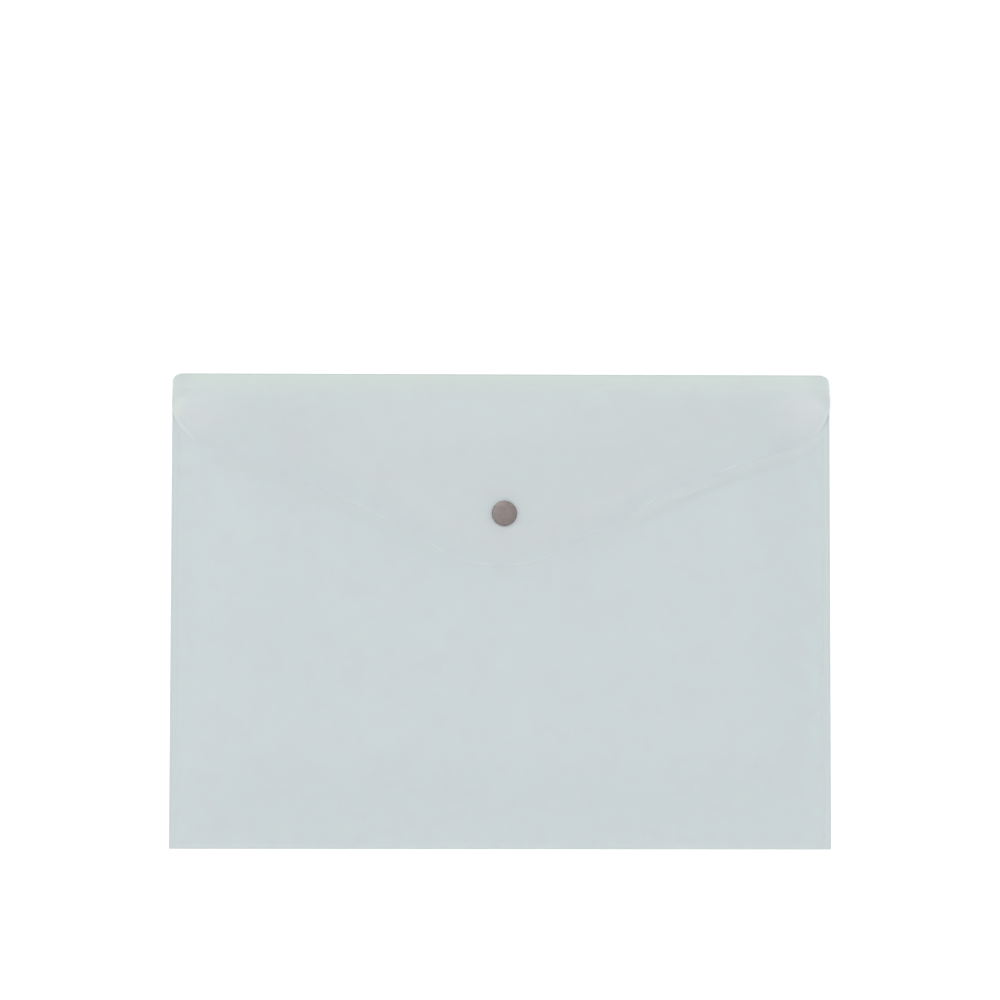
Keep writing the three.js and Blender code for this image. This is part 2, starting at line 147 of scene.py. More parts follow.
SOCKET_MOUTH_RADIUS = 2.75
STUD_RADIUS = 5.2
STUD_BASE_THICKNESS = 0.35
STUD_HEIGHT = 2.25  # with its base
STUD_TO_SOCKET_GAP = 0.25
NECK_RADIUS = 1.7
NIB_RADIUS = 2.05
NIB_EDGE_RADIUS = 0.34
NIB_HEIGHT = 0.5
NIB_SLOPE = 0.25  # height of the slope from the neck out to the nib
NIB_INNER_DROP = 0.12  # of that slope inside, below the one outside
EYELET_RADIUS = 5
EYELET_RIM_DEPTH = 0.55
EYELET_TUBE_GAP = 0.25  # between its tube and the bore of the neck
EYELET_FLARE = 0.15
WIRE_RADIUS = 0.25
WIRE_TO_NECK_GAP = 0.15
WIRE_LEG_HALF = 2.4  # half its straight part
WIRE_BEND_RADIUS = 1.4
WIRE_BEND_ANGLE = 1.0  # radians
TURNED_STEPS = 96
ARC_STEPS = 6

# Patterns in the plastic and the metal
CLOUD_SIZE = 8
STREAK_SIZE = (9, 250, 20)  # across the roll's direction, along it, and upwards
GRAIN_SIZE = 0.5
TARNISH_SIZE = 2.5
RING_SPACING = 0.6
WAVE_TURN = 20  # radians that a wave texture turns by in one unit

HALF_WIDTH = ENVELOPE_WIDTH / 2
TOP_Y = ENVELOPE_HEIGHT / 2
BOTTOM_Y = -TOP_Y
MOUTH_Y = TOP_Y - MOUTH_DROP
POCKET_HALF_WIDTH = HALF_WIDTH - WELD_WIDTH
PRESSED_Y = BOTTOM_Y + BOTTOM_FOLD_WIDTH
FRONT_TOP = 2 * SHEET_THICKNESS + POCKET_HEIGHT
FRONT_MIDDLE = FRONT_TOP - SHEET_THICKNESS / 2
FLAP_MIDDLE = FRONT_TOP + LAYER_GAP + SHEET_THICKNESS / 2
FLAP_HALF_WIDTH = HALF_WIDTH + FLAP_OVERHANG
SPINE_HALF_WIDTH = HALF_WIDTH - SPINE_INSET
SNAP_Y = TOP_Y - SNAP_DROP
LOWER_CREASE = np.array([TOP_Y, SHEET_THICKNESS / 2 + CREASE_RADIUS])  # Y and Z
UPPER_CREASE = np.array([TOP_Y - SPINE_RUN, FLAP_MIDDLE - CREASE_RADIUS])
SPINE_TILT = math.atan2(UPPER_CREASE[1] - LOWER_CREASE[1], SPINE_RUN)
STUD_BASE_TOP = SEAT_GAP + STUD_BASE_THICKNESS  # above the front
SOCKET_STACK = STUD_TO_SOCKET_GAP + SOCKET_HEIGHT + SEAT_GAP  # from there up to the flap
FLAP_UNDER_AT_SNAP = FRONT_TOP + STUD_BASE_TOP + SOCKET_STACK
FLAP_TOP_AT_SNAP = FLAP_UNDER_AT_SNAP + SHEET_THICKNESS
ARCH_RISE = FLAP_TOP_AT_SNAP - SHEET_THICKNESS / 2 - FLAP_MIDDLE
FAR = 9.0  # a distance at which an edge or a fold no longer marks the sheet


def linear(hex_colour):
    """The linear red, green, blue and alpha of an sRGB hex colour."""
    values = [int(hex_colour[i : i + 2], 16) / 255 for i in (1, 3, 5)]
    return [v / 12.92 if v <= 0.04045 else ((v + 0.055) / 1.055) ** 2.4 for v in values] + [1.0]


def add(tree, kind, inputs=None, **settings):
    """Adds a node to a tree. settings are the node's own properties. inputs gives a socket, by name or
    number, a value or another node's output to link it to. On a Mix node for colours, 0 is the share of
    the second colour, 6 and 7 are the two colours, and output 2 is the result."""
    made = tree.nodes.new(kind)
    for key, value in settings.items():
        setattr(made, key, value)
    for key, value in (inputs or {}).items():
        if isinstance(value, bpy.types.NodeSocket):
            tree.links.new(value, made.inputs[key])
        else:
            made.inputs[key].default_value = value
    return made


def new_material(name):
    """A material with an empty node tree, and its output node."""
    material = bpy.data.materials.new(name)
    material.use_nodes = True
    material.node_tree.nodes.clear()
    return material, material.node_tree, add(material.node_tree, "ShaderNodeOutputMaterial")


def plastic(name, cool, green, painted_light_colour, whitening_and_painted_light, painted_shade_colour, translucency, roughness, grain_depth):
    """Polypropylene, extruded as a milky sheet and rolled to a fine satin grain. It mottles faintly from
    cool grey to green where it was extruded unevenly, with long streaks in the roll's direction. Painted
    light makes it lighter and greener on the spine and in a strip down the flap's left side. It is whiter
    in patches along a die-cut edge, partly stress whitening and partly a painted highlight of that edge,
    whiter along a pressed fold from stress whitening, whiter where the flap's edge has rubbed the front,
    and whiter where painted light lifts the flap's shade. Painted shade makes it deeper in colour in a
    bend, on a bead, at the ends of the spine, down the flap's sides and in a band below the flap's edge.
    The grain is 0.1 mm in the real sheet, and 0.5 mm here, so that it shows."""
    material, tree, output = new_material(name)
    place = add(tree, "ShaderNodeTexCoord").outputs["Object"]
    per_cloud = 1 / (CLOUD_SIZE * MM)
    clouds = add(tree, "ShaderNodeTexNoise", {"Vector": place, "Scale": per_cloud, "Detail": 2.0})
    per_streak = [1 / (size * MM) for size in STREAK_SIZE]
    stretch = add(tree, "ShaderNodeMapping", {"Vector": place, "Scale": per_streak})
    streaks = add(tree, "ShaderNodeTexNoise", {"Vector": stretch.outputs[0], "Scale": 1.0, "Detail": 2.0})
    per_grain = 1 / (GRAIN_SIZE * MM)
    grain = add(tree, "ShaderNodeTexNoise", {"Vector": place, "Scale": per_grain, "Detail": 1.0})
    both = add(
        tree,
        "ShaderNodeMath",
        {0: streaks.outputs["Fac"], 1: 0.08, 2: clouds.outputs["Fac"]},
        operation="MULTIPLY_ADD",
    )
    cloudy = add(
        tree,
        "ShaderNodeMapRange",
        {"Value": both.outputs[0], "From Min": 0.38, "From Max": 0.7},
    )
    body = add(
        tree,
        "ShaderNodeMix",
        {0: cloudy.outputs[0], 6: linear(cool), 7: linear(green)},
        data_type="RGBA",
    )
    # Painted light: lighter and greener where this mark is set
    painted_light = add(tree, "ShaderNodeAttribute", attribute_name="painted_light").outputs["Fac"]
    body = add(
        tree,
        "ShaderNodeMix",
        {0: painted_light, 6: body.outputs[2], 7: linear(painted_light_colour)},
        data_type="RGBA",
    )
    marks = []
    # Whiter along a die-cut edge, partly stress whitening and partly a painted highlight of that edge,
    # and a little along a pressed fold
    for attribute, reach, share in (("cut_edge", 0.9, 1.0), ("fold_line", 0.5, 0.12)):
        distance = add(tree, "ShaderNodeAttribute", attribute_name=attribute)
        marks.append(
            add(
                tree,
                "ShaderNodeMapRange",
                {"Value": distance.outputs["Fac"], "From Max": reach, "To Min": share, "To Max": 0.0},
                interpolation_type="SMOOTHSTEP",
            ).outputs[0]
        )
    patchy = add(
        tree,
        "ShaderNodeMapRange",
        {
            "Value": clouds.outputs["Fac"],
            "From Min": 0.4,
            "From Max": 0.62,
            "To Min": 0.1,
            "To Max": 0.6,
        },
    )
    edge = add(tree, "ShaderNodeMath", {0: marks[0], 1: patchy.outputs[0]}, operation="MULTIPLY")
    # Wear, and painted light that lifts the flap's shade
    wear_and_light_share = add(tree, "ShaderNodeAttribute", attribute_name="wear_and_painted_light").outputs["Fac"]
    worst = add(tree, "ShaderNodeMath", {0: edge.outputs[0], 1: marks[1]}, operation="MAXIMUM")
    worst = add(tree, "ShaderNodeMath", {0: worst.outputs[0], 1: wear_and_light_share}, operation="MAXIMUM")
    whitened = add(
        tree,
        "ShaderNodeMix",
        {0: worst.outputs[0], 6: body.outputs[2], 7: linear(whitening_and_painted_light)},
        data_type="RGBA",
    )
    # Painted shade: deeper in colour where this mark is set
    thick = add(tree, "ShaderNodeAttribute", attribute_name="thick").outputs["Fac"]
    colour = add(
        tree,
        "ShaderNodeMix",
        {0: thick, 6: whitened.outputs[2], 7: linear(painted_shade_colour)},
        data_type="RGBA",
    )
    gloss = add(
        tree,
        "ShaderNodeMapRange",
        {
            "Value": streaks.outputs["Fac"],
            "From Min": 0.3,
            "From Max": 0.7,
            "To Min": roughness - 0.04,
            "To Max": roughness + 0.04,
        },
    )
    relief = add(
        tree,
        "ShaderNodeBump",
        {"Height": grain.outputs["Fac"], "Strength": 1.0, "Distance": grain_depth * MM},
    )
    surface = add(
        tree,
        "ShaderNodeBsdfPrincipled",
        {
            "Base Color": colour.outputs[2],
            "Roughness": gloss.outputs[0],
            "IOR": 1.49,
            "Normal": relief.outputs[0],
        },
    )
    through = add(
        tree,
        "ShaderNodeBsdfTranslucent",
        {"Color": colour.outputs[2], "Normal": relief.outputs[0]},
    )
    mixed = add(
        tree,
        "ShaderNodeMixShader",
        {0: translucency, 1: surface.outputs[0], 2: through.outputs[0]},
    )
    tree.links.new(mixed.outputs[0], output.inputs["Surface"])
    return material


def plated(name, dark, light, roughness, ring_depth):
    """Metal that was pressed in a drawing die or turned, then plated and tumbled. Fine rings about the
    snap's axis are left by the tool, 0.1 mm apart in the real snap and 0.6 mm here, so that they show,
    and faint clouds of tarnish make it a little darker and duller in places."""
    material, tree, output = new_material(name)
    place = add(tree, "ShaderNodeTexCoord").outputs["Object"]
    on_axis = [-SNAP_X * MM, -SNAP_Y * MM, 0]
    local = add(tree, "ShaderNodeMapping", {"Vector": place, "Location": on_axis})
    rings = add(
        tree,
        "ShaderNodeTexWave",
        {
            "Vector": local.outputs[0],
            "Scale": 2 * math.pi / (WAVE_TURN * RING_SPACING * MM),
            "Distortion": 0.6,
            "Detail": 2.0,
            "Detail Scale": 1.5,
        },
        wave_type="RINGS",
        rings_direction="Z",
    )
    tarnish = add(
        tree,
        "ShaderNodeTexNoise",
        {"Vector": place, "Scale": 1 / (TARNISH_SIZE * MM), "Detail": 5.0, "Roughness": 0.6},
    )
    cloudy = add(
        tree,
        "ShaderNodeMapRange",
        {"Value": tarnish.outputs["Fac"], "From Min": 0.35, "From Max": 0.65},
    )
    colour = add(
        tree,
        "ShaderNodeMix",
        {0: cloudy.outputs[0], 6: linear(dark), 7: linear(light)},
        data_type="RGBA",
    )
    dullness = add(
        tree,
        "ShaderNodeMapRange",
        {
            "Value": tarnish.outputs["Fac"],
            "From Min": 0.3,
            "From Max": 0.7,
            "To Min": roughness + 0.05,
            "To Max": roughness - 0.05,
        },
    )
    relief = add(
        tree,
        "ShaderNodeBump",
        {"Height": rings.outputs["Fac"], "Strength": 1.0, "Distance": ring_depth * MM},
    )
    surface = add(
        tree,
        "ShaderNodeBsdfPrincipled",
        {
            "Base Color": colour.outputs[2],
            "Metallic": 1.0,
            "Roughness": dullness.outputs[0],
            "Normal": relief.outputs[0],
        },
    )
    tree.links.new(surface.outputs[0], output.inputs["Surface"])
    return material


sheet_finish = plastic(
    "satin_polypropylene_sheet",
    cool="#eef2f3",
    green="#eef4f4",
    painted_light_colour="#f0f6f2",
    whitening_and_painted_light="#fcfdfc",
    painted_shade_colour="#e8edec",
    translucency=0.55,
    roughness=0.4,
    grain_depth=0.012,
)
weld_finish = plastic(
    "melted_polypropylene_weld",
    cool="#dee6e5",
    green="#dce7e4",
    painted_light_colour="#dbe6df",
    whitening_and_painted_light="#eff4f3",
    painted_shade_colour="#d9e1e2",
    translucency=0.3,
    roughness=0.28,
    grain_depth=0.006,
)
nickel_finish = plated(
    "satin_nickel_plate", dark="#7c7371", light="#857d7a", roughness=0.42, ring_depth=0.006
)
bronze_finish = plated(
    "drawn_phosphor_bronze", dark="#a37c49", light="#b58f5a", roughness=0.3, ring_depth=0.004
)


def smooth(value):
    """0 below 0 and 1 above 1, and between them 3v^2 - 2v^3, which is level at both ends."""
    v = np.clip(value, 0, 1)
    return v * v * (3 - 2 * v)


def make_piece(name, points, faces, finish, slot, nodes, bodies, bend=None, **marks):
    """A smooth mesh object from points in millimetres, with sharp edges kept. Each mark is a number for
    every point. It replaces the CAD nodes named, and rides on the first body named, or, when a bend is
    given, is left unparented where it is."""
    mesh = bpy.data.meshes.new(name)
    mesh.from_pydata((points * MM).tolist(), [], [list(face) for face in faces])
    mesh.polygons.foreach_set("use_smooth", np.ones(len(mesh.polygons), bool))
    mesh.set_sharp_from_angle(angle=math.radians(45))
    for key, values in marks.items():
        mesh.attributes.new(key, "FLOAT", "POINT").data.foreach_set("value", values.astype(np.float32))
    mesh.materials.append(finish)
    mesh.update()
    piece = bpy.data.objects.new(name, mesh)
    bpy.context.scene.collection.objects.link(piece)
    if bend is None:
        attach(piece, bodies[0])
    else:
        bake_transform(piece)
    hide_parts(*nodes)
    return piece


def sheet_piece(name, middle, marks, nodes, bodies, bend=None, thinning=0.0):
    """A sheet. middle is a grid of points on its middle surface, and its two faces lie half the
    thickness to either side, along the cross product of the grid's two directions. Thinning brings the
    upper face down by that share of the thickness. A rim closes the border and stands out from it by
    the bulge. Each mark, and the thinning, is a number, row or grid."""
    across = np.gradient(middle, axis=0)
    along = np.gradient(middle, axis=1)
    across /= np.linalg.norm(across, axis=2, keepdims=True)
    along /= np.linalg.norm(along, axis=2, keepdims=True)
    normal = np.cross(across, along)
    normal *= SHEET_THICKNESS / 2 / np.linalg.norm(normal, axis=2, keepdims=True)
    outward = np.zeros_like(middle)
    outward[0] -= across[0]
    outward[-1] += across[-1]
    outward[:, 0] -= along[:, 0]
    outward[:, -1] += along[:, -1]

    columns, rows = middle.shape[:2]
    number = np.arange(columns * rows).reshape(columns, rows)
    border = np.concatenate(
        [number[:-1, 0], number[-1, :-1], number[:0:-1, -1], number[0, :0:-1]]
    )
    rim = (middle + RIM_BULGE * outward).reshape(-1, 3)[border]
    count = columns * rows
    thinning = np.broadcast_to(thinning, (columns, rows))[:, :, None]
    upper_face = middle + normal * (1 - 2 * thinning)
    rim -= (normal * thinning).reshape(-1, 3)[border]
    points = np.concatenate([upper_face.reshape(-1, 3), (middle - normal).reshape(-1, 3), rim])
    upper = np.stack([number[:-1, :-1], number[1:, :-1], number[1:, 1:], number[:-1, 1:]], axis=2)
    upper = upper.reshape(-1, 4)
    lower = upper[:, ::-1] + count
    edge = np.arange(len(border)) + 2 * count
    after, edge_after = np.roll(border, -1), np.roll(edge, -1)
    top_rim = np.stack([border, edge, edge_after, after], axis=1)
    bottom_rim = np.stack([edge, border + count, after + count, edge_after], axis=1)
    faces = np.concatenate([upper, lower, top_rim, bottom_rim])
    point_marks = {}
    for key, values in marks.items():
        flat = np.broadcast_to(values, (columns, rows)).ravel()
        point_marks[key] = np.concatenate([flat, flat, flat[border]])
    return make_piece(name, points, faces, sheet_finish, "sheet", nodes, bodies, bend, **point_marks)


# Columns of the pocket's sheet, as if it had its full width everywhere
half_columns = np.concatenate(
    [
        np.linspace(0, SPARSE_HALF_WIDTH, 32)[1:],
        np.linspace(SPARSE_HALF_WIDTH, POCKET_HALF_WIDTH, 20)[1:],
        HALF_WIDTH - np.array([2.4, 1.8, 1.2, 0.8, 0.5, 0.3, 0.15, 0.06, 0]),
    ]
)
pocket_columns = np.concatenate([-half_columns[::-1], [0], half_columns])


def spread_columns(half_width):
    """The columns moved so that the outer ones lie at half_width, one value for each row. Columns more
    than the margin inside the sides stay where they are, and the rest are spaced in proportion."""
    inner = HALF_WIDTH - MARGIN
    size = np.abs(pocket_columns)[:, None]
    outer = inner + (size - inner) * (np.asarray(half_width)[None, :] - inner) / MARGIN
    return np.sign(pocket_columns)[:, None] * np.where(size < inner, size, outer)


def round_corner(half_width, distance):
    """The half width of a sheet at a distance from the fold that a round corner starts at: a quarter of
    a circle, then the full half width."""
    inside = TOP_CORNER_RADIUS - np.clip(distance, 0, TOP_CORNER_RADIUS)
    return half_width - TOP_CORNER_RADIUS + np.sqrt(TOP_CORNER_RADIUS**2 - inside**2)


def lay(x, y, z):
    """A grid of points from three grids, each of which may be a single row or number."""
    return np.stack(np.broadcast_arrays(x, y, z), axis=2).astype(float)


corner_steps = TOP_CORNER_RADIUS * (1 - np.cos(np.linspace(0, math.pi / 2, 13)))

# Back: flat on the table. Below the mouth it is as wide as the pocket between its welds, and above the
# mouth as wide as the envelope, with round top corners at the fold.
back_distance = np.concatenate(
    [
        CREASE_LINE + corner_steps,
        np.linspace(TOP_CORNER_RADIUS + CREASE_LINE, MOUTH_DROP, 6)[1:],
        [MOUTH_DROP + 0.05],
        np.linspace(MOUTH_DROP, TOP_Y - PRESSED_Y - 1, 40)[1:],
        TOP_Y - PRESSED_Y - np.array([0.5, 0.2, 0.05, 0]),
    ]
)
above_mouth = back_distance <= MOUTH_DROP
back_half_width = np.where(
    above_mouth, round_corner(HALF_WIDTH, back_distance - CREASE_LINE), POCKET_HALF_WIDTH
)
back_x = spread_columns(back_half_width)
sheet_piece(
    "back_sheet",
    lay(back_x, TOP_Y - back_distance, SHEET_THICKNESS / 2),
    {
        "cut_edge": np.where(above_mouth, back_half_width - np.abs(back_x), FAR),
        "fold_line": np.minimum(
            np.minimum(back_distance - CREASE_LINE, TOP_Y - PRESSED_Y - back_distance),
            np.where(above_mouth, FAR, back_half_width - np.abs(back_x)),
        ),
    },
    ["back_panel"],
    ["pocket"],
)

# Bottom fold: back along the table, half round the fold, and up to the line where it is pressed flat.
fold_centre = (BOTTOM_Y + CREASE_RADIUS + SHEET_THICKNESS / 2, CREASE_RADIUS + SHEET_THICKNESS / 2)
fold_angle = np.radians(np.linspace(-90, -270, 13))
flat_run = np.concatenate([[0, 0.06, 0.2, 0.5], np.linspace(0.9, 2.4, 5)])
upper_share = smooth(np.linspace(0, 1, 10)[1:])
fold_y = np.concatenate(
    [
        PRESSED_Y - flat_run,
        fold_centre[0] + CREASE_RADIUS * np.cos(fold_angle),
        fold_centre[0] + (PRESSED_Y - fold_centre[0]) * np.linspace(0, 1, 10)[1:],
    ]
)
fold_z = np.concatenate(
    [
        np.full(len(flat_run), SHEET_THICKNESS / 2),
        fold_centre[1] + CREASE_RADIUS * np.sin(fold_angle),
        (fold_centre[1] + CREASE_RADIUS) * (1 - upper_share) + PRESSED_MIDDLE * upper_share,
    ]
)
pocket_x = spread_columns(np.full(len(fold_y), POCKET_HALF_WIDTH))
sheet_piece(
    "bottom_fold_sheet",
    lay(pocket_x, fold_y, fold_z),
    {
        "cut_edge": FAR,
        "fold_line": PRESSED_Y - fold_y,
        # painted shade along the outer bend of the fold
        "thick": 1 - smooth((fold_y - BOTTOM_Y - 0.3) / 0.5),
    },
    ["bottom_fold"],
    ["pocket"],
)


def front_height(x, y):
    """The middle of the front. It is a pillow: low along the welds and the bottom fold, rising over a
    roll from each, and level up to the mouth. Under the flap's edge it is pressed down by part of the
    sheet's thickness. Where it is free of the flap it sags by a small step just below that edge, more on
    the right, which fades out downwards, and long low waves are added, as in any sheet that was rolled
    up. Where the edge has rubbed it there are fine ridges."""
    side = smooth((POCKET_HALF_WIDTH - np.abs(x)) / SIDE_ROLL)
    bottom = smooth((y - PRESSED_Y) / BOTTOM_ROLL)
    low = WELDED_MIDDLE + (PRESSED_MIDDLE - WELDED_MIDDLE) * side
    below_edge = flap_edge(np.abs(x)) - y
    waves = 0.16 * np.sin(x / 31 + 0.6) * np.sin(y / 37 + 1.1) + 0.09 * np.sin(x / 17 - y / 23 + 2)
    waves = waves * smooth(below_edge / WAVE_FADE)
    away_from_snap = smooth((np.abs(x - SNAP_X) - 12) / 30)
    towards_right = 0.35 + 0.65 * smooth((x - 40) / 70)
    sag = smooth((below_edge - SAG_DISTANCE) / SAG_RUN) * (1 - smooth(below_edge / SAG_FADE))
    sag = SAG * sag * away_from_snap * towards_right
    press = (1 - smooth((below_edge + 0.05) / PRESS_RUN)) * (1 - smooth(-(below_edge + 5) / PRESS_FADE))
    ridged = RIDGE_HEIGHT * rubbed(x, below_edge) * ridges(x, below_edge)
    return low + (FRONT_MIDDLE - low + waves - sag - PRESS * press + ridged) * side * bottom


def ridges(x, below_edge):
    """A wave from -1 to 1 across the flap's edge, 1.2 mm long, whose crests wander along it."""
    return np.sin(5.2 * below_edge + 2.5 * np.sin(x / 9))


def rubbed(x, below_edge):
    """How far the flap's edge has rubbed the front, from 0 to 1: in a band just below the edge, in
    patches, and most on the right, where the flap is pulled open."""
    below_edge = below_edge + 0.5 * np.sin(x / 6.1) + 0.3 * np.sin(x / 2.7 + 1)
    band = smooth(below_edge / 0.9) * (1 - smooth((below_edge - RUBBED_WIDTH + 1.2) / 1.2))
    share = 0.25 + 0.75 * smooth((x - 45) / 50)
    patches = smooth(0.75 + 0.45 * np.sin(x / 11 + 0.7) + 0.3 * np.sin(x / 5.3 + 2.1))
    return band * share * patches


def flap_edge(x):
    """Y of the flap's lower edge, for x from 0 to its side: an arc round the tip, a long hollow arc that
    touches it, and an arc round the corner."""
    tip_end = FLAP_TIP_RADIUS * math.sin(FLAP_TIP_ANGLE)
    tip_centre = TOP_Y - FLAP_DEPTH + FLAP_TIP_RADIUS
    corner_x = FLAP_HALF_WIDTH - FLAP_CORNER_RADIUS
    corner_start = corner_x + FLAP_CORNER_RADIUS * math.sin(FLAP_SIDE_ANGLE)
    hollow = (corner_start - tip_end) / (math.sin(FLAP_TIP_ANGLE) - math.sin(FLAP_SIDE_ANGLE))
    hollow_x = tip_end + hollow * math.sin(FLAP_TIP_ANGLE)
    hollow_y = tip_centre - (FLAP_TIP_RADIUS + hollow) * math.cos(FLAP_TIP_ANGLE)
    corner_y = hollow_y + (hollow + FLAP_CORNER_RADIUS) * math.cos(FLAP_SIDE_ANGLE)
    tip = tip_centre - np.sqrt(np.maximum(0, FLAP_TIP_RADIUS**2 - x**2))
    slant = hollow_y + np.sqrt(np.maximum(0, hollow**2 - (x - hollow_x) ** 2))
    corner = corner_y - np.sqrt(np.maximum(0, FLAP_CORNER_RADIUS**2 - (x - corner_x) ** 2))
    return np.where(x < tip_end, tip, np.where(x < corner_start, slant, corner))


# Front: its rows lie close together at the bottom fold, along the flap's edge, which they follow there,
# and at the mouth.
front_x = spread_columns([POCKET_HALF_WIDTH])
edge_y = flap_edge(np.abs(front_x))
near_edge = np.concatenate(
    [np.linspace(-13, -7, 7), np.linspace(-6.5, 0.1, 27), [0.4, 0.9, 1.5, 2.5, 4, 6]]
)
low_y = PRESSED_Y + 3.5
below_flap = edge_y - 14
above_edge = edge_y + 9
high_y = MOUTH_Y - 2.5
fold_rows = PRESSED_Y + np.array([0, 0.05, 0.15, 0.35, 0.7, 1.3, 2.2])
mouth_rows = MOUTH_Y - np.array([1.6, 0.9, 0.4, 0.12, 0])
front_y = np.hstack(
    [
        np.tile(fold_rows, (len(edge_y), 1)),
        low_y + (below_flap - low_y) * np.linspace(0, 1, 42),
        edge_y + near_edge,
        above_edge + (high_y - above_edge) * np.linspace(0, 1, 14),
        np.tile(mouth_rows, (len(edge_y), 1)),
    ]
)
# The flap's edge leaves pale strokes along itself, and below them a band is painted darker: painted shade
# where the sheet sags below that edge.
below_edge = edge_y - front_y
strokes = smooth(0.1 + ridges(front_x, below_edge))
from_painted_edge_shade = below_edge - RUBBED_WIDTH - EDGE_SHADE_DISTANCE
painted_edge_shade = np.exp(-((from_painted_edge_shade / 2) ** 2)) * smooth((np.abs(front_x - SNAP_X) - 25) / 20)
sheet_piece(
    "front_sheet",
    lay(front_x, front_y, front_height(front_x, front_y)),
    {
        "cut_edge": MOUTH_Y - front_y,
        "fold_line": np.minimum(front_y - PRESSED_Y, POCKET_HALF_WIDTH - np.abs(front_x)),
        "wear_and_painted_light": 0.4 * rubbed(front_x, below_edge) * strokes,
        # painted shade in a band below the flap's edge, stronger on the right
        "thick": 0.2 * painted_edge_shade * (0.6 + 0.4 * smooth((front_x - 45) / 50)),
    },
    ["front_panel"],
    ["pocket"],
)

# Top spine: from the upper crease down to the lower one, round its bend and on to the back. It bows
# out a little between the creases, and its ends are round at the lower crease.
spine_length = math.hypot(SPINE_RUN, UPPER_CREASE[1] - LOWER_CREASE[1])
spine_up = np.array([-math.cos(SPINE_TILT), math.sin(SPINE_TILT)])
spine_out = np.array([math.sin(SPINE_TILT), math.cos(SPINE_TILT)])
spine_distance = np.concatenate(
    [
        spine_length - np.array([CREASE_LINE, CREASE_LINE + 0.06, 0.4, 0.8, 1.5, 2.4, 3.4]),
        corner_steps[::-1],
    ]
)
bow = CREASE_RADIUS + SPINE_BOW * np.sin(math.pi * spine_distance / spine_length) ** 2
spine_yz = LOWER_CREASE + spine_up * spine_distance[:, None] + spine_out * bow[:, None]
bend_angle = np.linspace(math.pi / 2 - SPINE_TILT, -math.pi / 2, 14)[1:]
bend_yz = LOWER_CREASE + CREASE_RADIUS * np.stack([np.cos(bend_angle), np.sin(bend_angle)], axis=1)
landing_yz = np.array([[TOP_Y - 0.08, SHEET_THICKNESS / 2], [TOP_Y - CREASE_LINE, SHEET_THICKNESS / 2]])
spine_path = np.concatenate([spine_yz, bend_yz, landing_yz])
bend_count = len(bend_yz) + len(landing_yz)
spine_half_width = np.concatenate(
    [
        round_corner(SPINE_HALF_WIDTH, spine_distance),
        np.full(bend_count, HALF_WIDTH - TOP_CORNER_RADIUS),
    ]
)
spine_x = spread_columns(spine_half_width)
between = (math.pi / 2 - SPINE_TILT) / 2  # the direction that parts the spine's side from the back's
bend_out = np.array([0, math.cos(math.pi / 2 - between), math.sin(math.pi / 2 - between)])
lower_axis = np.array([0, *LOWER_CREASE])
# Two places across the bend of the lower crease, given as the piece's bend.
lower_bend = [(lower_axis + reach * bend_out) * MM for reach in (-0.225, 0.249)]
# Painted shade: the spine's ends are painted darker, and so is the outer bend at the lower crease.
spine_end_distance = spine_half_width - np.abs(spine_x)
spine_end_shade = 1 - smooth(spine_end_distance / PAINTED_SHADE_RUN)
sheet_piece(
    "top_spine_sheet",
    lay(spine_x, spine_path[:, 0], spine_path[:, 1]),
    {
        "cut_edge": spine_end_distance,
        "fold_line": np.concatenate([spine_length - spine_distance, np.full(bend_count, FAR)]),
        # painted light: lighter and greener between the creases, most at the top fold
        "painted_light": 1 - 0.6 * smooth((TOP_Y - spine_path[:, 0]) / SPINE_RUN),
        # painted shade at the spine's ends and along the outer bend
        "thick": np.maximum(spine_end_shade, 1 - smooth((TOP_Y - spine_path[:, 0] - 0.1) / 0.5)),
    },
    ["top_spine"],
    ["pocket", "spine"],
    lower_bend,
)


